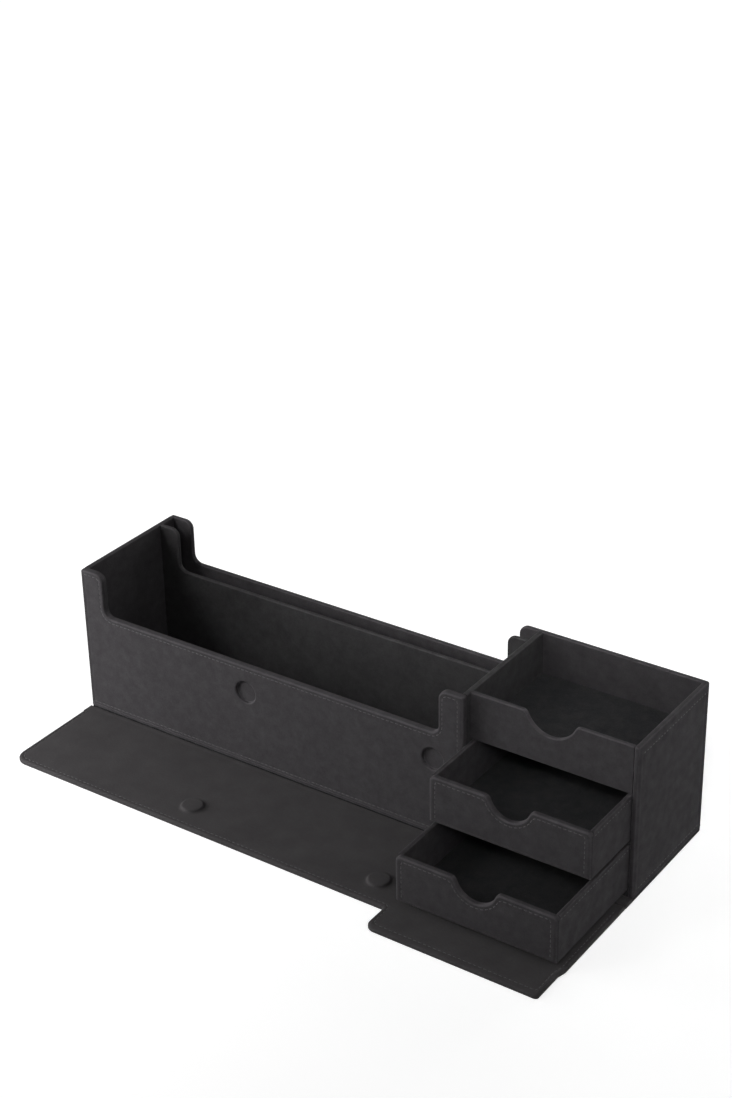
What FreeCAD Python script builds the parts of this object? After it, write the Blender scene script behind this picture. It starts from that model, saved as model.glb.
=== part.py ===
import FreeCAD, Part
import math
import os

# Card storage box: a case with a card bay, a rear slot, an open tray over two drawers, and a front flap.
# Millimetres. X runs along the box, the front faces -Y, Z is up.
# The origin is the middle of the box's underside, on the surface that it stands on.

Vector = FreeCAD.Vector

# Case
length = 402.9
depth = 94.4
height = 105.4
wall = 3.5
base_thick = 3.1
wrap_round = 1.2
seam_round = 0.8
end_round = 1.5

# Front wall: an outer board that holds magnets, and this liner board behind it
front_liner_thick = 1.1

# Wide cut-outs over the card bay, and the stubs of wall left beside them
cut_deep = 30.5
cut_round = 6.0
front_left_stub = 17.9
front_right_stub = 17.3
rear_left_stub = 18.4
rear_right_stub = 13.5

# Rear slot behind the card bay, and linings
slot_width = 11.2
divider_thick = 3.0
lining_thick = 0.8

# Tower with the tray above the drawers, its front set back from the front wall's face
tower_inside = 106.9
tower_setback = 8.2
tower_floor_thick = 4.2
shelf_thick = 2.4
tray_floor_thick = 3.0
tray_front_thick = 3.2

# Thumb notches: a round bottom, and on each side a short straight run up to a round shoulder
notch_straight = 1.5
notch_shoulder_round = 4.0
tray_notch_deep = 12.7
tray_notch_round = 17.0
drawer_notch_deep = 11.9
drawer_notch_round = 14.0

# Drawers, and how much of each is still in the tower at rest
drawer_height = 31.0
drawer_board = 3.0
drawer_floor_thick = 2.0
drawer_corner_round = 3.5
drawer_gap = 0.4
drawer_inset = 0.6
upper_drawer_held = 44.6
lower_drawer_held = 9.1

# Front flap and the strip that it hinges on
flap_thick = 3.1
flap_past_caps = 19.4
tongue_past_flap = 20.0
tongue_overlap = 1.6
tongue_inset = 1.5
step_length = 5.5
step_before_front = 2.9
flap_corner_round = 9.0
tongue_left_round = 6.0
tongue_right_round = 2.5
step_round = 4.0
strip_width = 3.2
strip_thick = 1.2
strip_middle = 1.7
hinge_clear = 0.3

# Magnets: a pair under caps on the flap, facing a pair in the front wall
magnet_from_tower = 21.3
magnet_below_cut = 18.9
magnet_skin = 0.3
recess_clear = 0.8
recess_rim_round = 0.6
wall_magnet_diameter = 12.0
wall_magnet_thick = 1.0
cap_diameter = 14.0
cap_height = 1.9
cap_clear = 0.3
cap_round = 0.8
cap_magnet_diameter = 10.5
cap_magnet_thick = 1.2

# Places worked out from the sizes above
left = -length / 2
right = length / 2
front = -depth / 2
back = depth / 2
inside_left = left + wall
inside_right = right - wall
inside_back = back - wall
recess_diameter = cap_diameter + 2 * recess_clear
recess_deep = cap_height + cap_clear
front_board_thick = recess_deep + magnet_skin + wall_magnet_thick
front_liner_y = front + front_board_thick
inside_front = front_liner_y + front_liner_thick
tower_front = front + tower_setback
slot_y = inside_back - slot_width
divider_y = slot_y - divider_thick
cut_low = height - cut_deep
tower_left = inside_right - tower_inside
bay_right = tower_left - wall
lower_drawer_z = base_thick + tower_floor_thick + drawer_gap
shelf_z = lower_drawer_z + drawer_height + drawer_gap
upper_drawer_z = shelf_z + shelf_thick + drawer_gap
tray_z = upper_drawer_z + drawer_height + drawer_gap
tray_floor_top = tray_z + tray_floor_thick
magnet_x = tower_left - magnet_from_tower
magnet_z = cut_low - magnet_below_cut
hinge_y = front - strip_width
flap_near = hinge_y - strip_thick / 2 - hinge_clear
cap_y = hinge_y - (magnet_z - strip_middle)
flap_front = cap_y - flap_past_caps
tongue_front = flap_front - tongue_past_flap


def box(x, y, z):
    """Block between the low and the high value along each axis."""
    size = [high - low for low, high in (x, y, z)]
    return Part.makeBox(*size, Vector(x[0], y[0], z[0]))


def rounded_wire(points, radii):
    """Closed wire through flat points, each corner rounded by its own radius, 0 for a sharp one."""
    bends = []
    for i, (corner, radius) in enumerate(zip(points, radii)):
        to_last = (points[i - 1] - corner).normalize()
        to_next = (points[(i + 1) % len(points)] - corner).normalize()
        half = to_last.getAngle(to_next) / 2
        inward = (to_last + to_next).normalize()
        reach = radius / math.tan(half)
        dip = radius / math.sin(half) - radius
        bends.append((corner + to_last * reach, corner + inward * dip, corner + to_next * reach))
    edges = []
    for i, (start, middle, end) in enumerate(bends):
        if radii[i]:
            edges.append(Part.Arc(start, middle, end).toShape())
        edges.append(Part.makeLine(end, bends[(i + 1) % len(bends)][0]))
    return Part.Wire(edges)


def upright_board(outline, y, thick):
    """Board that faces the front, from its (x, z, radius) corners."""
    points = [Vector(x, y, z) for x, z, radius in outline]
    radii = [radius for x, z, radius in outline]
    return Part.Face(rounded_wire(points, radii)).extrude(Vector(0, thick, 0))


def flat_board(outline, z, thick):
    """Board that lies flat, from its (x, y, radius) corners."""
    points = [Vector(x, y, z) for x, y, radius in outline]
    radii = [radius for x, y, radius in outline]
    return Part.Face(rounded_wire(points, radii)).extrude(Vector(0, 0, thick))


def lies_on(edge, plane):
    """True where the whole edge is on a plane, given as an axis letter and a value."""
    axis, value = plane
    low = getattr(edge.BoundBox, axis + "Min")
    high = getattr(edge.BoundBox, axis + "Max")
    return max(abs(low - value), abs(high - value)) < 0.01


def edges_on(solid, *planes, skip=()):
    """Edges that lie on all of the planes and on none of the skipped ones."""
    chosen = [edge for edge in solid.Edges if all(lies_on(edge, plane) for plane in planes)]
    return [edge for edge in chosen if not any(lies_on(edge, plane) for plane in skip)]


def disc(diameter, thick, place, direction):
    """Round disc from the middle of its first face, along a direction."""
    return Part.makeCylinder(diameter / 2, thick, place, direction)


def save(name, *solids):
    """One node, in which like solids stay apart."""
    shape = solids[0] if len(solids) == 1 else Part.makeCompound(solids)
    shape.exportStep(os.path.join("parts", name + ".step"))


def base_board():
    corners = [(left, front), (right, front), (right, back), (left, back)]
    board = flat_board([(x, y, end_round) for x, y in corners], 0, base_thick)
    return board.makeFillet(seam_round, edges_on(board, ("Z", 0)) + edges_on(board, ("Z", base_thick)))


def cross_wall(x_low, x_high, y_front, *open_ends):
    """Wall that runs from the front to the back, with its top and any open upright edges rounded."""
    board = box((x_low, x_high), (y_front, inside_back), (base_thick, height))
    edges = []
    for x in (x_low, x_high):
        edges += edges_on(board, ("X", x), ("Z", height))
    for x, y in open_ends:
        edges += edges_on(board, ("X", x), ("Y", y))
    return board.makeFillet(wrap_round, edges)


def cut_out_wall(x, cut, y, thick, top_round):
    """Wall along the box with a wide cut-out, between the low and high X of each."""
    outline = [
        (x[0], base_thick, 0),
        (x[1], base_thick, 0),
        (x[1], height, top_round),
        (cut[1], height, cut_round),
        (cut[1], cut_low, cut_round),
        (cut[0], cut_low, cut_round),
        (cut[0], height, cut_round),
        (x[0], height, top_round),
    ]
    return upright_board(outline, y, thick)


def back_wall():
    cut = (left + rear_left_stub, bay_right - rear_right_stub)
    board = cut_out_wall((left, right), cut, inside_back, wall, end_round)
    hidden = [("X", left), ("X", right), ("Z", base_thick)]
    rims = edges_on(board, ("Y", back)) + edges_on(board, ("Y", inside_back), skip=hidden)
    return board.makeFillet(wrap_round, rims)


def slot_divider():
    """Its ends meet the end wall and the tower wall face to face, so only its top edges are rounded."""
    cut = (left + rear_left_stub, bay_right - rear_right_stub)
    board = cut_out_wall((inside_left, bay_right), cut, divider_y, divider_thick, 0)
    hidden = [("X", inside_left), ("X", bay_right), ("Z", base_thick)]
    rims = edges_on(board, ("Y", divider_y), skip=hidden) + edges_on(board, ("Y", slot_y), skip=hidden)
    return board.makeFillet(wrap_round, rims)


def front_wall_layer(y, thick):
    cut = (left + front_left_stub, tower_left - front_right_stub)
    return cut_out_wall((left, tower_left), cut, y, thick, end_round)


def front_board():
    """Outer board: a magnet recess in front of each magnet pocket, which opens to the back."""
    board = front_wall_layer(front, front_board_thick)
    board = board.makeFillet(wrap_round, edges_on(board, ("Y", front)))
    for x in (-magnet_x, magnet_x):
        board = board.cut(disc(recess_diameter, recess_deep, Vector(x, front, magnet_z), Vector(0, 1, 0)))
    rims = [edge for edge in edges_on(board, ("Y", front)) if edge.isClosed()]
    board = board.makeFillet(recess_rim_round, rims)
    return board.cut(Part.makeCompound(wall_magnets()))


def wall_magnets():
    middles = [Vector(x, front_liner_y, magnet_z) for x in (-magnet_x, magnet_x)]
    return [disc(wall_magnet_diameter, wall_magnet_thick, middle, Vector(0, -1, 0)) for middle in middles]


def front_liner():
    board = front_wall_layer(front_liner_y, front_liner_thick)
    hidden = [("X", left), ("X", tower_left), ("Z", base_thick)]
    rims = edges_on(board, ("Y", inside_front), skip=hidden)
    return board.makeFillet(min(wrap_round, 0.8 * front_liner_thick), rims)


def notched_outline(x, z, notch_deep, notch_round, top_round):
    """Upright outline between the low and high X and Z, with a thumb notch in the middle of its top."""
    middle = (x[0] + x[1]) / 2
    rounds = notch_round + notch_shoulder_round
    lean = math.atan(notch_straight / rounds)
    slope = math.acos((rounds - notch_deep) / math.hypot(rounds, notch_straight)) - lean
    past_bottom = notch_straight + notch_shoulder_round * math.tan(slope / 2)
    half_wide = notch_round * math.sin(slope) + past_bottom * math.cos(slope)
    sides_meet = half_wide * math.tan(slope)
    return [
        (x[0], z[0], 0),
        (x[1], z[0], 0),
        (x[1], z[1], top_round),
        (middle + half_wide, z[1], notch_shoulder_round),
        (middle, z[1] - sides_meet, notch_round),
        (middle - half_wide, z[1], notch_shoulder_round),
        (x[0], z[1], top_round),
    ]


def tray_front():
    x, z = (tower_left, inside_right), (tray_z, height)
    outline = notched_outline(x, z, tray_notch_deep, tray_notch_round, 0)
    board = upright_board(outline, tower_front, tray_front_thick)
    hidden = [("X", tower_left), ("X", inside_right)]
    rims = edges_on(board, ("Y", tower_front), skip=hidden)
    rims += edges_on(board, ("Y", tower_front + tray_front_thick), skip=hidden + [("Z", tray_z)])
    under_notch = height - tray_z - tray_notch_deep
    return board.makeFillet(min(wrap_round, 0.4 * under_notch), rims)


def tower_plate(z, thick, y_front):
    """Flat plate between the tower wall and the right end wall."""
    return box((tower_left, inside_right), (y_front, inside_back), (z, z + thick))


def hinge_strip():
    """Flexible strip along the lower front edge, with a round outer edge on the flap's axis."""
    half = strip_thick / 2
    strip = box((left, right), (hinge_y, front), (strip_middle - half, strip_middle + half))
    round_edge = disc(strip_thick, length, Vector(left, hinge_y, strip_middle), Vector(1, 0, 0))
    return strip.fuse(round_edge).removeSplitter()


def flap_board():
    """One stepped panel: the main part, and a longer tongue in front of the drawers."""
    tongue_left = bay_right - tongue_overlap
    tongue_right = right - tongue_inset
    step_y = flap_front + step_before_front
    outline = [
        (left, flap_near, end_round),
        (left, flap_front, flap_corner_round),
        (tongue_left, flap_front, end_round),
        (tongue_left, tongue_front, tongue_left_round),
        (tongue_right, tongue_front, tongue_right_round),
        (tongue_right, step_y, step_round),
        (right, step_y + step_length, step_round),
        (right, flap_near, end_round),
    ]
    board = flat_board(outline, 0, flap_thick)
    return board.makeFillet(wrap_round, edges_on(board, ("Z", 0)) + edges_on(board, ("Z", flap_thick)))


def cap_magnets():
    middles = [Vector(x, cap_y, flap_thick) for x in (-magnet_x, magnet_x)]
    return [disc(cap_magnet_diameter, cap_magnet_thick, middle, Vector(0, 0, 1)) for middle in middles]


def magnet_caps():
    caps = []
    for x, magnet in zip((-magnet_x, magnet_x), cap_magnets()):
        cap = disc(cap_diameter, cap_height, Vector(x, cap_y, flap_thick), Vector(0, 0, 1))
        cap = cap.makeFillet(cap_round, edges_on(cap, ("Z", flap_thick + cap_height)))
        caps.append(cap.cut(magnet))
    return caps


def drawer(name, z, held):
    """The six pieces of a drawer, of which the held length is still in the tower."""
    long = depth - wall - 2 * drawer_inset
    x = (tower_left + drawer_gap, inside_right - drawer_gap)
    y = (tower_front + held - long, tower_front + held)
    z = (z, z + drawer_height)
    inner_x = (x[0] + drawer_board, x[1] - drawer_board)
    inner_y = (y[0] + drawer_board, y[1] - drawer_board)
    floor_top = z[0] + drawer_floor_thick

    outline = notched_outline(x, z, drawer_notch_deep, drawer_notch_round, drawer_corner_round)
    face = upright_board(outline, y[0], drawer_board)
    save(name + "_front", face.makeFillet(wrap_round, edges_on(face, ("Y", y[0]))))

    rear = box(x, (inner_y[1], y[1]), z)
    save(name + "_back", rear.makeFillet(wrap_round, edges_on(rear, ("Y", y[1]))))

    for side, side_x in (("left", (x[0], inner_x[0])), ("right", (inner_x[1], x[1]))):
        board = box(side_x, inner_y, z)
        rims = [edge for value in side_x for edge in edges_on(board, ("X", value), ("Z", z[1]))]
        save(name + "_" + side + "_side", board.makeFillet(wrap_round, rims))

    save(name + "_floor", box(inner_x, inner_y, (z[0], floor_top)))
    save(name + "_lining", box(inner_x, inner_y, (floor_top, floor_top + lining_thick)))


os.makedirs("parts", exist_ok=True)

# Case
save("base_board", base_board())
save("left_end_wall", cross_wall(left, inside_left, inside_front))
save("right_end_wall", cross_wall(inside_right, right, tower_front, (right, tower_front)))
save("tower_wall", cross_wall(bay_right, tower_left, inside_front))
save("back_wall", back_wall())
save("slot_divider", slot_divider())
save("front_board", front_board())
save("front_liner", front_liner())
save("front_magnets", *wall_magnets())
save("hinge_strip", hinge_strip())

# Tower
tray_floor_front = tower_front + tray_front_thick
save("tower_floor", tower_plate(base_thick, tower_floor_thick, tower_front))
save("drawer_shelf", tower_plate(shelf_z, shelf_thick, tower_front))
save("tray_floor", tower_plate(tray_z, tray_floor_thick, tray_floor_front))
save("tray_lining", tower_plate(tray_floor_top, lining_thick, tray_floor_front))
save("tray_front", tray_front())

# Linings on the base
lining_z = (base_thick, base_thick + lining_thick)
save("card_bay_lining", box((inside_left, bay_right), (inside_front, divider_y), lining_z))
save("slot_lining", box((inside_left, bay_right), (slot_y, inside_back), lining_z))

# Front flap
save("flap_board", flap_board())
save("flap_magnet_caps", *magnet_caps())
save("flap_magnets", *cap_magnets())

# Drawers
drawer("upper_drawer", upper_drawer_z, upper_drawer_held)
drawer("lower_drawer", lower_drawer_z, lower_drawer_held)
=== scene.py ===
import math
import random
import bpy
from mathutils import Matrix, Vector
from mathutils.geometry import delaunay_2d_cdt


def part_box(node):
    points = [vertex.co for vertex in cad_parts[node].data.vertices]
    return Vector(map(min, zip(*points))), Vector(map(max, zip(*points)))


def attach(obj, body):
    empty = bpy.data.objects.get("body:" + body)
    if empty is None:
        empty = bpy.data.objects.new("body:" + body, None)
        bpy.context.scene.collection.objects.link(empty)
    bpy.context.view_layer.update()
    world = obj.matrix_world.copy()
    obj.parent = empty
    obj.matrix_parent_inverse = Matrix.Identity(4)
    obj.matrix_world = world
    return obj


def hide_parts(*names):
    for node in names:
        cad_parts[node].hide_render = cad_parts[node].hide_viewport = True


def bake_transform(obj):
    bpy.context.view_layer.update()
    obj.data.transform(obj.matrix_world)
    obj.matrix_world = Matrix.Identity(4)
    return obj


# Looks of the card storage box: sewn suede-like coverings, a cloth hinge, materials, studio and camera.
# The part's sizes are in millimetres in its own frame, and become metres where a mesh is made.
# The studio's and the camera's are in metres.

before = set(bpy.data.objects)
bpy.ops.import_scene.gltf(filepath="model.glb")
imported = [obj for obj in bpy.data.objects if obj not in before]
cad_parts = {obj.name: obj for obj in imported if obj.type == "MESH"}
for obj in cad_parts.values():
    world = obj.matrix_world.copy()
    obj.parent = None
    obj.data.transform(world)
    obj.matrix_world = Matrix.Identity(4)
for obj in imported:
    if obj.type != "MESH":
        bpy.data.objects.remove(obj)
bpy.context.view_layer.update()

MM = 0.001


def corners_of(node):
    """Low and high corner of a node's box."""
    return [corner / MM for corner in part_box(node)]


# Outer places, read from the frame
case_low, case_high = corners_of("base_board")
wall_low, wall_high = corners_of("front_board")
end_low, end_high = corners_of("right_end_wall")
flap_low, flap_high = corners_of("flap_board")
caps_low, caps_high = corners_of("flap_magnet_caps")
magnets_low, magnets_high = corners_of("front_magnets")
left, front = case_low.x, case_low.y
right, back = case_high.x, case_high.y
height = wall_high.z
tower_front = end_low.y
tower_left = wall_high.x
bay_right = corners_of("tower_wall")[0].x

# Walls: how high the foot's fold reaches, the stubs beside the wide cut-outs, and rounds
fold_above_foot = 2.55
front_stubs = (17.9, 17.3)
back_stubs = (18.4, 13.5)
cut_deep = 30.5
cut_round = 6.0
end_round = 1.5
crisp_round = 0.4
wall_fold = 1.2
fold_steps = 6
hidden_round = 0.05
panel_foot = wall_low.z + fold_above_foot
cut_low = height - cut_deep
front_cut = (left + front_stubs[0], tower_left - front_stubs[1])
back_cut = (left + back_stubs[0], bay_right - back_stubs[1])

# Drawer fronts: thumb notch, corner rounds, and how the painted crease shadow on a side starts and ends
notch_deep = 11.9
notch_round = 14.0
notch_straight = 1.5
notch_shoulder_round = 4.0
drawer_corner_round = 3.5
side_corner_round = 2.0
crease_shadow_above_bottom = 0.3
crease_shadow_below_top = 2.2

# Flap: how far its tongue reaches past it, the tongue's gaps at its ends, the step at its right, and rounds
tongue_longer = 20.0
tongue_left_gap = 1.6
tongue_right_gap = 1.5
step_back = 2.9
step_long = 5.5
flap_cover_out = 8.6
flap_corner_round = 9.0
tongue_left_round = 6.0
tongue_right_round = 2.5
step_round = 4.0
flap_front = flap_low.y + tongue_longer
flap_near = front - flap_cover_out
tongue_left = bay_right - tongue_left_gap
tongue_right = right - tongue_right_gap
step_far = flap_front + step_back
step_near = step_far + step_long

# Magnet recesses and caps
cap_y = (caps_low.y + caps_high.y) / 2
magnet_x = caps_high.x - (caps_high.y - cap_y)
magnet_z = (magnets_low.z + magnets_high.z) / 2
recess_places = [(-magnet_x, magnet_z), (magnet_x, magnet_z)]
cap_places = [(-magnet_x, cap_y), (magnet_x, cap_y)]
circle_points = 48

# Covering pressed into a recess, and drawn over a cap: radius, and lift off the face around it
recess_profile = [
    (10.0, 0.20), (9.2, 0.20), (8.7, 0.18), (8.35, 0.12), (8.02, 0.0), (7.75, -0.25), (7.62, -0.7),
    (7.55, -1.3), (7.5, -1.7), (7.3, -1.95), (6.9, -2.04), (6.0, -2.06), (3.0, -2.07), (0.4, -2.07),
]
cap_profile = [
    (10.5, 0.14), (9.4, 0.20), (8.4, 0.30), (7.75, 0.46), (7.35, 0.72), (7.15, 1.12), (6.95, 1.5),
    (6.6, 1.84), (6.0, 1.97), (5.0, 2.01), (2.5, 2.02), (0.3, 2.02),
]

# Covering: how far in from the edge, and how far it stands off the board there
cover_profile = [
    (0.25, -0.52), (0.45, -0.2), (0.7, 0.0), (1.0, 0.13), (1.3, 0.2), (1.6, 0.22), (1.95, 0.19),
    (2.3, 0.1), (2.6, 0.03), (2.8, 0.01), (3.0, 0.03), (3.4, 0.1), (4.0, 0.17), (4.8, 0.2),
]
cover_lift = 0.20
seam_inset = 2.8
least_round = 0.15
arc_steps = 12
sharp_degrees = 50

# Thread: along a stitch, its share of the length, its thickness there, and its lift
stitch_rings = [
    (0.0, 0.3, -0.16), (0.14, 0.85, 0.05), (0.5, 1.0, 0.13), (0.86, 0.85, 0.05), (1.0, 0.3, -0.16),
]
stitch_pitch = 3.3
stitch_length = 2.45
length_spread = (0.94, 1.04)
skew_most = 0.06
thread_wide = 0.52
thread_thick = 0.34
thread_sides = 6
underside_depth = -0.18
drawer_side_depth = -0.12

# Dark strip of painted crease shadow on a drawer's side: distance behind the front, and lift
side_crease_shadow_line = [(1.1, -0.1), (1.25, 0.04), (1.95, 0.04), (2.1, -0.1)]

# Folded covering round the case's foot, the dark strip of painted shadow in the crease under it, the cloth
# hinge, and the ledge under the drawers: distance out from the front, and height
foot_line = [
    (-0.1, 5.3), (0.08, 5.1), (0.17, 4.8), (0.21, 4.4), (0.21, 4.0), (0.16, 3.6), (0.04, 3.3), (-0.2, 3.05),
    (-0.6, 2.95),
]
crease_shadow_line = [(-0.3, 3.1), (0.0, 2.95), (0.04, 2.6), (0.04, 1.3)]
hinge_line = [
    (-0.6, 1.3), (0.0, 1.3), (0.25, 1.4), (0.5, 1.8), (0.75, 2.4), (1.0, 2.8), (1.3, 3.04), (1.7, 3.16),
    (2.2, 3.22), (2.8, 3.22), (3.4, 3.2), (4.0, 3.13), (4.6, 3.06), (5.2, 3.12), (6.0, 3.17), (7.0, 3.23),
    (8.0, 3.27), (8.9, 3.285),
]
ledge_line = [(-8.3, 3.12), (-8.0, 3.25), (-4.0, 3.25), (-0.9, 3.25), (-0.4, 3.1), (0.0, 2.6), (0.08, 1.4)]
ledge_gap = 0.3

# Cloth of the hinge and the ledge: its lower side, its least thickness, round ends and faint waves
cloth_low = 0.9
cloth_least = 0.1
cloth_steps = 134
cloth_end_round = 0.5
cloth_ends = [0.02, 0.1, 0.25, cloth_end_round]
wave_count = 6
wave_sizes = (0.02, 0.05)
wave_rates = (0.05, 0.35)
wave_starts = (0, 6.28)
wave_share = 0.5


def srgb(*values):
    """Linear colour from display values of 0 to 255."""
    shares = [value / 255 for value in values]
    return [s / 12.92 if s <= 0.04045 else ((s + 0.055) / 1.055) ** 2.4 for s in shares] + [1.0]


# Nodes of materials. Most values of a noise lie in noise_range. The painted highlight on folds shows between
# two cosines of the angle by which the surface is turned away from the nearest axis.
noise_range = (0.3, 0.7)
fold_highlight_range = (0.985, 0.88)
fold_highlight_gain = 1.5


def new_material(name):
    """New material, its node tree and its shader."""
    material = bpy.data.materials.new(name)
    material.use_nodes = True
    tree = material.node_tree
    return material, tree, tree.nodes["Principled BSDF"]


def own_coords(tree):
    """Coordinates that stay with the piece."""
    return tree.nodes.new("ShaderNodeTexCoord").outputs["Object"]


def noise(tree, coords, scale, detail, roughness=0.55):
    """Soft random pattern with values about 0.5."""
    node = tree.nodes.new("ShaderNodeTexNoise")
    node.inputs["Scale"].default_value = scale
    node.inputs["Detail"].default_value = detail
    node.inputs["Roughness"].default_value = roughness
    tree.links.new(coords, node.inputs["Vector"])
    return node.outputs["Fac"]


def weighted(tree, parts):
    """Sum of (value, weight) pairs."""
    total = None
    for value, weight in parts:
        node = tree.nodes.new("ShaderNodeMath")
        node.operation = "MULTIPLY_ADD"
        tree.links.new(value, node.inputs[0])
        node.inputs[1].default_value = weight
        if total is None:
            node.inputs[2].default_value = 0.0
        else:
            tree.links.new(total, node.inputs[2])
        total = node.outputs[0]
    return total


def larger(tree, first, second):
    """The larger of two values."""
    node = tree.nodes.new("ShaderNodeMath")
    node.operation = "MAXIMUM"
    tree.links.new(first, node.inputs[0])
    tree.links.new(second, node.inputs[1])
    return node.outputs[0]


def mapped(tree, value, start, end, low, high):
    """Value that goes from low to high while the given one goes from start to end."""
    node = tree.nodes.new("ShaderNodeMapRange")
    for socket, number in (("From Min", start), ("From Max", end), ("To Min", low), ("To Max", high)):
        node.inputs[socket].default_value = number
    tree.links.new(value, node.inputs["Value"])
    return node.outputs["Result"]


def set_roughness(tree, shader, pattern, low, high):
    """Roughness from low to high over a noise pattern."""
    tree.links.new(mapped(tree, pattern, *noise_range, low, high), shader.inputs["Roughness"])


def set_bump(tree, shader, value, strength, distance):
    """Fine relief of the surface."""
    node = tree.nodes.new("ShaderNodeBump")
    node.inputs["Strength"].default_value = strength
    node.inputs["Distance"].default_value = distance
    tree.links.new(value, node.inputs["Height"])
    tree.links.new(node.outputs["Normal"], shader.inputs["Normal"])


def set_sheen(shader, weight, roughness, tint):
    """Soft sheen of a nap."""
    shader.inputs["Sheen Weight"].default_value = weight
    shader.inputs["Sheen Roughness"].default_value = roughness
    shader.inputs["Sheen Tint"].default_value = tint


def ramp(tree, value, stops):
    """Colour ramp over (place, colour) stops."""
    node = tree.nodes.new("ShaderNodeValToRGB")
    while len(node.color_ramp.elements) < len(stops):
        node.color_ramp.elements.new(0.5)
    for element, (place, colour) in zip(node.color_ramp.elements, stops):
        element.position = place
        element.color = colour
    tree.links.new(value, node.inputs["Fac"])
    return node.outputs["Color"]


def fold_highlight_and_wear(tree, colour):
    """The colour with a painted highlight where the surface turns over an edge, partly the lighter worn nap
    there: by its angle to the part's own axes.
    """
    facing = tree.nodes.new("ShaderNodeVectorMath")
    facing.operation = "ABSOLUTE"
    tree.links.new(tree.nodes.new("ShaderNodeTexCoord").outputs["Normal"], facing.inputs[0])
    along = tree.nodes.new("ShaderNodeSeparateXYZ")
    tree.links.new(facing.outputs["Vector"], along.inputs["Vector"])
    most = larger(tree, larger(tree, along.outputs["X"], along.outputs["Y"]), along.outputs["Z"])
    level = mapped(tree, most, *fold_highlight_range, 1.0, fold_highlight_gain)
    scaled = tree.nodes.new("ShaderNodeVectorMath")
    scaled.operation = "SCALE"
    tree.links.new(colour, scaled.inputs[0])
    tree.links.new(level, scaled.inputs["Scale"])
    return scaled.outputs["Vector"]


# Materials

def suede(name, dark, middle, light, clouds, grain, sheen):
    """Brushed covering: soft clouds where the nap lies differently, over a fine short nap."""
    material, tree, shader = new_material(name)
    coords = own_coords(tree)
    broad = noise(tree, coords, scale=24, detail=3)
    cloud = noise(tree, coords, scale=150, detail=5, roughness=0.62)
    nap = noise(tree, coords, scale=1300, detail=3, roughness=0.7)
    shade = weighted(tree, [(broad, 0.2), (cloud, clouds), (nap, 0.8 - clouds)])
    colour = ramp(tree, shade, [(0.36, dark), (0.5, middle), (0.64, light)])
    # The folds are lightened: a painted highlight, partly the lighter worn nap there.
    tree.links.new(fold_highlight_and_wear(tree, colour), shader.inputs["Base Color"])
    set_roughness(tree, shader, cloud, 0.95, 0.78)
    set_bump(tree, shader, weighted(tree, [(nap, 0.7), (cloud, 0.3)]), strength=grain, distance=0.0004)
    set_sheen(shader, sheen, 0.45, srgb(150, 148, 152))
    shader.inputs["Specular IOR Level"].default_value = 0.12
    return material


def leatherette(name, dark, middle, light):
    """Smoother covering with a fine pebbled grain."""
    material, tree, shader = new_material(name)
    coords = own_coords(tree)
    broad = noise(tree, coords, scale=14, detail=3)
    cloud = noise(tree, coords, scale=70, detail=4)
    cells = tree.nodes.new("ShaderNodeTexVoronoi")
    cells.feature = "SMOOTH_F1"
    cells.inputs["Scale"].default_value = 850
    tree.links.new(coords, cells.inputs["Vector"])
    pebble = cells.outputs["Distance"]
    shade = weighted(tree, [(broad, 0.5), (cloud, 0.35), (pebble, 0.15)])
    colour = ramp(tree, shade, [(0.34, dark), (0.46, middle), (0.58, light)])
    tree.links.new(colour, shader.inputs["Base Color"])
    set_roughness(tree, shader, cloud, 0.82, 0.68)
    set_bump(tree, shader, pebble, strength=0.22, distance=0.0003)
    set_sheen(shader, 0.06, 0.5, srgb(150, 148, 150))
    shader.inputs["Specular IOR Level"].default_value = 0.1
    return material


def thread(name, dark, light):
    """Twisted sewing thread."""
    material, tree, shader = new_material(name)
    fibre = noise(tree, own_coords(tree), scale=3200, detail=2)
    colour = ramp(tree, fibre, [(0.35, dark), (0.65, light)])
    tree.links.new(colour, shader.inputs["Base Color"])
    set_roughness(tree, shader, fibre, 0.75, 0.55)
    set_bump(tree, shader, fibre, strength=0.5, distance=0.0003)
    shader.inputs["Sheen Weight"].default_value = 0.15
    return material


def plated(name):
    """Plated steel with a fine brushed unevenness."""
    material, tree, shader = new_material(name)
    brush = noise(tree, own_coords(tree), scale=2500, detail=2)
    colour = ramp(tree, brush, [(0.3, srgb(150, 150, 154)), (0.7, srgb(188, 188, 190))])
    tree.links.new(colour, shader.inputs["Base Color"])
    set_roughness(tree, shader, brush, 0.3, 0.42)
    shader.inputs["Metallic"].default_value = 1.0
    return material


outer_suede = suede(
    "outer_suede", srgb(54, 52, 54), srgb(60, 58, 60), srgb(66, 64, 66), clouds=0.42, grain=0.35, sheen=0.1,
)
flap_cover = leatherette("flap_covering", srgb(64, 62, 63), srgb(67, 65, 66), srgb(70, 68, 69))
# The outer suede made darker for the faces inside the box: painted shade.
inner_wrap = suede(
    "inner_wrap", srgb(46, 45, 46), srgb(52, 51, 52), srgb(58, 57, 58), clouds=0.4, grain=0.3, sheen=0.08,
)
# Dark lining felt; its strips in the creases at the foot and the drawers' sides are painted shade.
lining_and_crease_shade = suede(
    "inner_lining", srgb(34, 34, 35), srgb(40, 40, 41), srgb(46, 46, 47), clouds=0.3, grain=0.6, sheen=0.2,
)
seam_thread = thread("seam_thread", srgb(54, 52, 54), srgb(72, 70, 72))
plated_steel = plated("plated_steel")


# Flat outlines: corners are (u, v, radius), anticlockwise as seen from outside

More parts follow.
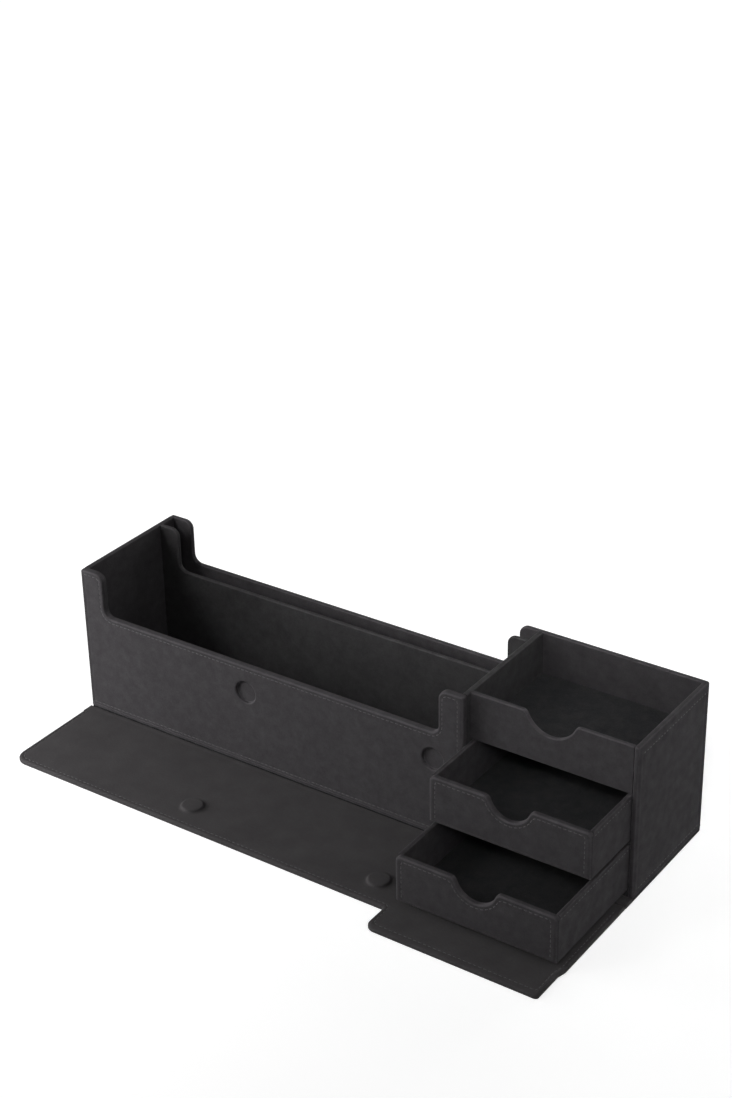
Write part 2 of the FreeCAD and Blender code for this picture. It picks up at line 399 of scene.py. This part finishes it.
def shifted(outline, inset, widths):
    """The outline moved inwards, each edge by the inset times its own width, which is 1 if none is given."""
    lines = []
    for i, (u, v, _) in enumerate(outline):
        end = outline[(i + 1) % len(outline)]
        along = Vector((end[0] - u, end[1] - v)).normalized()
        step = inset * widths.get(i, 1.0)
        lines.append((Vector((u, v)) + Vector((-along.y, along.x)) * step, along))
    moved = []
    for i, (_, _, radius) in enumerate(outline):
        (start, along), (crossing, across) = lines[i - 1], lines[i]
        turn = along.cross(across)
        corner = start + along * ((crossing - start).cross(across) / turn)
        radius = max(radius - inset, least_round) if turn > 0 else radius + inset
        moved.append((corner.x, corner.y, radius))
    return moved


def round_points(outline):
    """Points round the outline, each corner's arc in equal steps."""
    points = []
    for i, (u, v, radius) in enumerate(outline):
        corner = Vector((u, v))
        to_last = (Vector(outline[i - 1][:2]) - corner).normalized()
        to_next = (Vector(outline[(i + 1) % len(outline)][:2]) - corner).normalized()
        half = to_last.angle(to_next) / 2
        reach = radius / math.tan(half)
        middle = corner + (to_last + to_next).normalized() * (radius / math.sin(half))
        start = (corner + to_last * reach - middle).normalized()
        end = (corner + to_next * reach - middle).normalized()
        points += [middle + start.slerp(end, step / arc_steps) * radius for step in range(arc_steps + 1)]
    return points


def notched(x, z):
    """Outline of a board with a thumb notch in the middle of its top."""
    middle = (x[0] + x[1]) / 2
    rounds = notch_round + notch_shoulder_round
    lean = math.atan(notch_straight / rounds)
    slope = math.acos((rounds - notch_deep) / math.hypot(rounds, notch_straight)) - lean
    past_bottom = notch_straight + notch_shoulder_round * math.tan(slope / 2)
    half_wide = notch_round * math.sin(slope) + past_bottom * math.cos(slope)
    sides_meet = half_wide * math.tan(slope)
    return [
        (x[0], z[0], crisp_round),
        (x[1], z[0], crisp_round),
        (x[1], z[1], drawer_corner_round),
        (middle + half_wide, z[1], notch_shoulder_round),
        (middle, z[1] - sides_meet, notch_round),
        (middle - half_wide, z[1], notch_shoulder_round),
        (x[0], z[1], drawer_corner_round),
    ]


def cut_out(u, cut):
    """Outline of a wall's covering with a wide cut-out in its top."""
    return [
        (u[0], panel_foot, crisp_round),
        (u[1], panel_foot, crisp_round),
        (u[1], height, end_round),
        (cut[1], height, cut_round),
        (cut[1], cut_low, cut_round),
        (cut[0], cut_low, cut_round),
        (cut[0], height, cut_round),
        (u[0], height, end_round),
    ]


# Places: from (u, v, lift) on a face to the part's frame

def on_front(y):
    return lambda u, v, lift: Vector((u, y - lift, v))


def on_back(u, v, lift):
    return Vector((-u, back + lift, v))


def on_left(u, v, lift):
    return Vector((left - lift, -u, v))


def on_right(x):
    return lambda u, v, lift: Vector((x + lift, u, v))


def on_top(z):
    return lambda u, v, lift: Vector((u, v, z + lift))


def on_underside(u, v, lift):
    return Vector((u, -v, -lift))


# Meshes

def make_piece(name, body, points, faces, material):
    """Smooth mesh from points in millimetres, riding on a body if one is named."""
    mesh = bpy.data.meshes.new(name)
    mesh.from_pydata([point * MM for point in points], [], faces)
    mesh.polygons.foreach_set("use_smooth", [True] * len(mesh.polygons))
    mesh.set_sharp_from_angle(angle=math.radians(sharp_degrees))
    mesh.materials.append(material)
    mesh.update()
    piece = bpy.data.objects.new(name, mesh)
    bpy.context.scene.collection.objects.link(piece)
    if body:
        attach(piece, body)
    return piece


def ring_faces(rings, count, first=0):
    """Quads between neighbouring rings of as many points each."""
    faces = []
    for ring in range(rings - 1):
        low = first + ring * count
        for i in range(count):
            j = (i + 1) % count
            faces.append((low + i, low + j, low + count + j, low + count + i))
    return faces


def circle(middle, radius):
    """Points round a circle."""
    turns = [2 * math.pi * i / circle_points for i in range(circle_points)]
    return [Vector((middle[0] + radius * math.cos(a), middle[1] + radius * math.sin(a))) for a in turns]


def turned(points, profile, middle, place):
    """Rings of a round profile from its rim to its middle; adds their points and returns their faces."""
    first = len(points)
    for radius, lift in profile:
        points += [place(u, v, lift) for u, v in circle(middle, radius)]
    last_ring = tuple(range(len(points) - circle_points, len(points)))
    return ring_faces(len(profile), circle_points, first) + [last_ring]


def fill(outer, holes):
    """Triangles between an outer ring and round holes, as places in the joined list of points."""
    points = list(outer)
    loops = [list(range(len(outer)))]
    for hole in holes:
        loops.append(list(range(len(points), len(points) + len(hole))))
        points += hole
    inside, inside_without_holes = 1, 5
    result = delaunay_2d_cdt(points, [], loops, inside_without_holes if holes else inside, 1e-6)
    originals = [sources[0] for sources in result[3]]
    return [tuple(originals[i] for i in face) for face in result[2]]


def cover(name, body, outline, place, material, widths, recesses=()):
    """Covering over a flat face, with a pressed channel along its edges where it is sewn."""
    points, flat = [], []
    for inset, lift in cover_profile:
        flat = round_points(shifted(outline, inset, widths))
        points += [place(u, v, lift) for u, v in flat]
    faces = ring_faces(len(cover_profile), len(flat))
    last_ring = len(points) - len(flat)
    holes = [circle(middle, recess_profile[0][0])[::-1] for middle in recesses]
    for hole in holes:
        points += [place(u, v, cover_lift) for u, v in hole]
    faces += [tuple(last_ring + i for i in face) for face in fill(flat, holes)]
    for middle in recesses:
        faces += turned(points, recess_profile, middle, place)
    make_piece(name, body, points, faces, material)


def cap_covers():
    """Coverings drawn over the two magnet caps."""
    points, faces = [], []
    for middle in cap_places:
        faces += turned(points, cap_profile, middle, on_top(flap_high.z))
    piece = make_piece("flap_cap_covers", "front_flap", points, faces, flap_cover)
    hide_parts("flap_magnet_caps")


def right_wall():
    """Right end wall with its covering folded round the front and top edges."""
    plan = [
        (end_low.x, end_low.y, wall_fold),
        (end_high.x, end_low.y, wall_fold),
        (end_high.x, end_high.y, hidden_round),
        (end_low.x, end_high.y, hidden_round),
    ]
    back_stays = {2: 0.0}
    turns = [math.pi / 2 * step / fold_steps for step in range(fold_steps + 1)]
    rings = [(0.0, end_low.z)]
    rings += [(wall_fold * (1 - math.cos(a)), end_high.z - wall_fold * (1 - math.sin(a))) for a in turns]
    points, flat = [], []
    for inset, z in rings:
        flat = round_points(shifted(plan, inset, back_stays))
        points += [Vector((x, y, z)) for x, y in flat]
    last_ring = len(points) - len(flat)
    faces = ring_faces(len(rings), len(flat))
    faces += [tuple(last_ring + i for i in face) for face in fill(flat, [])]
    piece = make_piece("right_wall_wrap", "case", points, faces, outer_suede)
    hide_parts("right_end_wall")


def side_crease_shadows(drawer, low, high):
    """Dark strip on both sides of a drawer, where the front's covering ends: a painted shadow of the crease
    there.
    """
    points, faces = [], []
    count = len(side_crease_shadow_line)
    for x, outward in ((high.x, 1), (low.x, -1)):
        first = len(points)
        for z in (low.z + crease_shadow_above_bottom, high.z - crease_shadow_below_top):
            points += [Vector((x + outward * lift, low.y + behind, z)) for behind, lift in side_crease_shadow_line]
        for i in range(first, first + count - 1):
            face = (i, i + 1, i + count + 1, i + count)
            faces.append(face if outward > 0 else face[::-1])
    make_piece(drawer + "_side_crease_shadows", drawer, points, faces, lining_and_crease_shade)


def swept(name, line, x_low, x_high, material, body=None):
    """Cloth along the box: the line is its upper face; slightly uneven, with round ends."""
    chance = random.Random(name)
    waves = []
    for _ in range(wave_count):
        waves.append((chance.uniform(*wave_sizes), chance.uniform(*wave_rates), chance.uniform(*wave_starts)))
    places = [x_low + end for end in cloth_ends]
    places += [x_low + (x_high - x_low) * step / cloth_steps for step in range(1, cloth_steps)]
    places += [x_high - end for end in reversed(cloth_ends)]
    points = []
    for x in places:
        ripple = sum(size * math.sin(rate * x + start) for size, rate, start in waves)
        bend = max(0.0, cloth_end_round - min(x - x_low, x_high - x))
        drop = cloth_end_round - math.sqrt(cloth_end_round ** 2 - bend ** 2)
        for i, (out, z) in enumerate(line):
            loose = math.sin(math.pi * i / (len(line) - 1))
            top = z - drop + ripple * loose * wave_share
            points.append(Vector((x, front - out, max(cloth_low + cloth_least, top))))
        points += [Vector((x, front - out, cloth_low)) for out, _ in reversed(line)]
    ring = 2 * len(line)
    faces = ring_faces(len(places), ring)
    faces.append(tuple(range(ring))[::-1])
    faces.append(tuple((len(places) - 1) * ring + i for i in range(ring)))
    return make_piece(name, body, points, faces, material)


def hinge_cloth():
    """Cloth hinge between the case's foot and the flap."""
    piece = swept("hinge_cloth", hinge_line, left, right, flap_cover)
    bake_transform(piece)
    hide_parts("hinge_strip")


def foot_fold(name, line, material):
    """Strip round the case's foot, from the right end wall by the back and left to the front wall's end."""
    plan = [(x, y, end_round) for x, y in ((left, front), (right, front), (right, back), (left, back))]
    corner = arc_steps + 1
    points, path = [], []
    for out, z in line:
        flat = round_points(shifted(plan, -out, {}))
        start, end = Vector((right + out, tower_front)), Vector((tower_left, front - out))
        path = [start] + flat[2 * corner:] + flat[:corner] + [end]
        points += [Vector((x, y, z)) for x, y in path]
    count = len(path)
    faces = []
    for ring in range(len(line) - 1):
        for i in range(ring * count, ring * count + count - 1):
            faces.append((i, i + count, i + count + 1, i + 1))
    make_piece(name, "case", points, faces, material)


# Stitches

def along_path(points, distance):
    """Point at a distance along a line of points."""
    for start, end in zip(points, points[1:]):
        step = (end - start).length
        if distance <= step and step > 0:
            return start.lerp(end, distance / step)
        distance -= step
    return points[-1]


def stitch_row(name, body, path, place, depth=0.0):
    """Row of stitches along a flat path, each one bowed up between two holes."""
    chance = random.Random(name)
    total = sum((b - a).length for a, b in zip(path, path[1:]))
    count = max(1, round(total / stitch_pitch))
    pitch = total / count
    points, faces = [], []
    for i in range(count):
        middle = (i + 0.5) * pitch
        half = stitch_length / 2 * chance.uniform(*length_spread)
        start = along_path(path, middle - half)
        end = along_path(path, middle + half)
        side = Vector((start.y - end.y, end.x - start.x)).normalized()
        skew = side * chance.uniform(-skew_most, skew_most)
        first = len(points)
        for share, size, lift in stitch_rings:
            centre = start.lerp(end, share) + skew * (2 * share - 1)
            for k in range(thread_sides):
                turn = 2 * math.pi * k / thread_sides
                spot = centre + side * (math.cos(turn) * size * thread_wide / 2)
                rise = lift + depth + math.sin(turn) * size * thread_thick / 2
                points.append(place(spot.x, spot.y, rise))
        faces += ring_faces(len(stitch_rings), thread_sides, first)
    make_piece(name, body, points, faces, seam_thread)


def sewn_line(outline, first, last, widths):
    """Path inside the outline from one corner to another, the way round it is listed."""
    points = round_points(shifted(outline, seam_inset, widths))
    per_corner = arc_steps + 1
    total = len(outline)
    corners = [(first + i) % total for i in range((last - first) % total + 1)]
    path = []
    for corner in corners:
        path += points[corner * per_corner:(corner + 1) * per_corner]
    return path


# Case coverings. Widths are those of the seams along the edges, from each corner to the next.

front_outline = cut_out((left, tower_left), front_cut)
back_outline = cut_out((-right, -left), (-back_cut[1], -back_cut[0]))
left_outline = [
    (-back, panel_foot, crisp_round),
    (-front, panel_foot, crisp_round),
    (-front, height, end_round),
    (-back, height, end_round),
]
right_outline = [
    (tower_front, panel_foot, crisp_round),
    (back, panel_foot, crisp_round),
    (back, height, end_round),
    (tower_front, height, wall_fold),
]
front_widths = {0: 0.48, 1: 1.4}
back_widths = {0: 0.48}
side_widths = {0: 0.48, 1: 1.6, 2: 2.1, 3: 1.75}

cover("front_wall_cover", "case", front_outline, on_front(front), outer_suede, front_widths, recess_places)
cover("back_wall_cover", "case", back_outline, on_back, outer_suede, back_widths)
cover("left_side_cover", "case", left_outline, on_left, outer_suede, side_widths)
cover("right_side_cover", "case", right_outline, on_right(right), outer_suede, side_widths)

stitch_row("front_wall_stitches", "case", sewn_line(front_outline, 0, 7, front_widths), on_front(front))
stitch_row("back_wall_stitches", "case", sewn_line(back_outline, 0, 7, back_widths), on_back)
stitch_row("left_side_stitches", "case", sewn_line(left_outline, 2, 1, side_widths), on_left)
stitch_row("right_side_top_stitches", "case", sewn_line(right_outline, 2, 3, side_widths), on_right(right))
stitch_row("right_side_foot_stitches", "case", sewn_line(right_outline, 0, 1, side_widths), on_right(right))

right_wall()

# Flap coverings

flap_outline = [
    (left, flap_near, crisp_round),
    (left, flap_front, flap_corner_round),
    (tongue_left, flap_front, end_round),
    (tongue_left, flap_low.y, tongue_left_round),
    (tongue_right, flap_low.y, tongue_right_round),
    (tongue_right, step_far, step_round),
    (right, step_near, step_round),
    (right, flap_near, crisp_round),
]
flap_widths = {0: 1.1, 1: 1.1, 2: 1.1, 3: 1.5, 7: 0.0}

cover("flap_top_cover", "front_flap", flap_outline, on_top(flap_high.z), flap_cover, flap_widths)
flap_path = sewn_line(flap_outline, 0, 7, flap_widths)
stitch_row("flap_stitches", "front_flap", flap_path, on_top(flap_high.z))
under_path = [Vector((u, -v)) for u, v in flap_path]
stitch_row("flap_underside_stitches", "front_flap", under_path, on_underside, underside_depth)
cap_covers()

# Drawer coverings

drawer_widths = {1: 1.43, 6: 1.43}
for drawer in ("upper_drawer", "lower_drawer"):
    low, high = corners_of(drawer + "_front")
    side_back = corners_of(drawer + "_right_side")[1].y
    drawer_outline = notched((low.x, high.x), (low.z, high.z))
    front_path = sewn_line(drawer_outline, 1, 0, drawer_widths)
    side_outline = [
        (low.y, low.z, crisp_round),
        (side_back, low.z, crisp_round),
        (side_back, high.z, crisp_round),
        (low.y, high.z, side_corner_round),
    ]
    side_path = sewn_line(side_outline, 2, 3, {})
    cover(drawer + "_front_cover", drawer, drawer_outline, on_front(low.y), outer_suede, drawer_widths)
    # Dark strips on the drawer's sides: painted crease shadow.
    side_crease_shadows(drawer, low, high)
    stitch_row(drawer + "_front_stitches", drawer, front_path, on_front(low.y))
    stitch_row(drawer + "_right_stitches", drawer, side_path, on_right(high.x), drawer_side_depth)

# Cloth hinge, ledge and foot

hinge_cloth()
swept("ledge_cloth", ledge_line, tower_left + ledge_gap, right, flap_cover, "case")
foot_fold("foot_fold", foot_line, outer_suede)
# The strip in the foot's crease is dark lining: a painted shadow in the crease.
foot_fold("foot_crease_shadow", crease_shadow_line, lining_and_crease_shade)

# Finishes of the frame's own nodes

node_finishes = {
    outer_suede: [
        "base_board", "left_end_wall", "right_end_wall", "back_wall", "front_board", "tray_front",
        "upper_drawer_front", "upper_drawer_left_side", "upper_drawer_right_side", "upper_drawer_back",
        "lower_drawer_front", "lower_drawer_left_side", "lower_drawer_right_side", "lower_drawer_back",
    ],
    inner_wrap: [
        "tower_wall", "slot_divider", "front_liner", "tower_floor", "drawer_shelf", "tray_floor",
        "upper_drawer_floor", "lower_drawer_floor",
    ],
    lining_and_crease_shade: ["card_bay_lining", "slot_lining", "tray_lining", "upper_drawer_lining", "lower_drawer_lining"],
    flap_cover: ["flap_board", "flap_magnet_caps", "hinge_strip"],
    plated_steel: ["front_magnets", "flap_magnets"],
}
for material, names in node_finishes.items():
    for name in names:
        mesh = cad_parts[name].data
        mesh.materials.clear()
        mesh.materials.append(material)

# Studio: a pale floor that shows white and keeps the shadow, a pale world, and soft lights around the box

floor_half = 9.0
floor_z = -0.0002
floor_bounce_grey = (0.35, 0.35, 0.35, 1)
floor_shadow_grey = (0.5, 0.5, 0.5, 1)
glow_reach = (0.3, 1.1)
glow_strength = (0.78, 1.0)
world_light = 0.06


def seen_rays(tree):
    """1 for rays that show the surroundings themselves, in the view or in gloss and glass."""
    path = tree.nodes.new("ShaderNodeLightPath")
    seen = larger(tree, path.outputs["Is Camera Ray"], path.outputs["Is Glossy Ray"])
    return larger(tree, seen, path.outputs["Is Transmission Ray"])


def floor_material():
    """Grey for the light that the floor gives back; where it is seen, it glows whiter away from the box."""
    material = bpy.data.materials.new("studio_floor")
    material.use_nodes = True
    tree = material.node_tree
    tree.nodes.clear()
    bounce = tree.nodes.new("ShaderNodeBsdfDiffuse")
    bounce.inputs["Color"].default_value = floor_bounce_grey
    shaded = tree.nodes.new("ShaderNodeBsdfDiffuse")
    shaded.inputs["Color"].default_value = floor_shadow_grey
    away = tree.nodes.new("ShaderNodeVectorMath")
    away.operation = "LENGTH"
    tree.links.new(tree.nodes.new("ShaderNodeNewGeometry").outputs["Position"], away.inputs[0])
    glow = tree.nodes.new("ShaderNodeEmission")
    paler = mapped(tree, away.outputs["Value"], *glow_reach, *glow_strength)
    tree.links.new(paler, glow.inputs["Strength"])
    lit = tree.nodes.new("ShaderNodeAddShader")
    tree.links.new(shaded.outputs[0], lit.inputs[0])
    tree.links.new(glow.outputs[0], lit.inputs[1])
    mix = tree.nodes.new("ShaderNodeMixShader")
    tree.links.new(seen_rays(tree), mix.inputs["Fac"])
    tree.links.new(bounce.outputs[0], mix.inputs[1])
    tree.links.new(lit.outputs[0], mix.inputs[2])
    output = tree.nodes.new("ShaderNodeOutputMaterial")
    tree.links.new(mix.outputs[0], output.inputs["Surface"])
    return material


def studio_floor():
    """Large flat floor just under the box."""
    mesh = bpy.data.meshes.new("studio_floor")
    signs = [(-1, -1), (1, -1), (1, 1), (-1, 1)]
    corners = [Vector((x * floor_half, y * floor_half, floor_z)) for x, y in signs]
    mesh.from_pydata(corners, [], [(0, 1, 2, 3)])
    mesh.materials.append(floor_material())
    floor = bpy.data.objects.new("studio_floor", mesh)
    bpy.context.scene.collection.objects.link(floor)


def studio_world():
    """World that is seen white, and lights the box faintly from all sides."""
    world = bpy.data.worlds.new("studio")
    world.use_nodes = True
    tree = world.node_tree
    sky = tree.nodes["Background"]
    sky.inputs["Color"].default_value = (1, 1, 1, 1)
    tree.links.new(mapped(tree, seen_rays(tree), 0.0, 1.0, world_light, 1.0), sky.inputs["Strength"])
    bpy.context.scene.world = world


def soft_light(name, place, target, size, power, fan=180):
    """Square lamp at a place, turned to a target; fan is the angle that its light spreads over."""
    light = bpy.data.lights.new(name, "AREA")
    light.shape = "SQUARE"
    light.size = size
    light.energy = power
    light.spread = math.radians(fan)
    lamp = bpy.data.objects.new(name, light)
    lamp.location = place
    lamp.rotation_euler = (Vector(target) - Vector(place)).to_track_quat("-Z", "Y").to_euler()
    lamp.visible_camera = False
    bpy.context.scene.collection.objects.link(lamp)


studio_floor()
studio_world()
soft_light("key_light", (-0.75, -0.95, 0.85), (-0.33, -0.08, 0.03), size=0.5, power=1.16, fan=60)
soft_light("left_light", (-0.55, -0.35, 0.15), (-0.2, -0.05, 0.05), size=0.25, power=2.6)
soft_light("front_light", (0.6, -0.95, 1.06), (0.16, 0.1, 0.185), size=0.3, power=0.26, fan=24)
soft_light("right_light", (1.3, -0.25, 0.7), (0.1, 0.0, 0.05), size=0.9, power=2.6)
soft_light("back_light", (0.15, 1.5, 0.6), (0.0, 0.0, 0.05), size=0.9, power=10.0)

# Camera at the photograph's angle

camera_place = (0.65455, -0.9414, 0.7558)
camera_degrees = (62.392, 1.037, 34.616)

camera = bpy.data.objects.new("camera", bpy.data.cameras.new("camera"))
camera.data.lens = 70.32
camera.data.sensor_width = 36.0
camera.location = camera_place
camera.rotation_euler = [math.radians(angle) for angle in camera_degrees]
bpy.context.scene.collection.objects.link(camera)
bpy.context.scene.camera = camera
bpy.context.scene.view_settings.view_transform = "Standard"
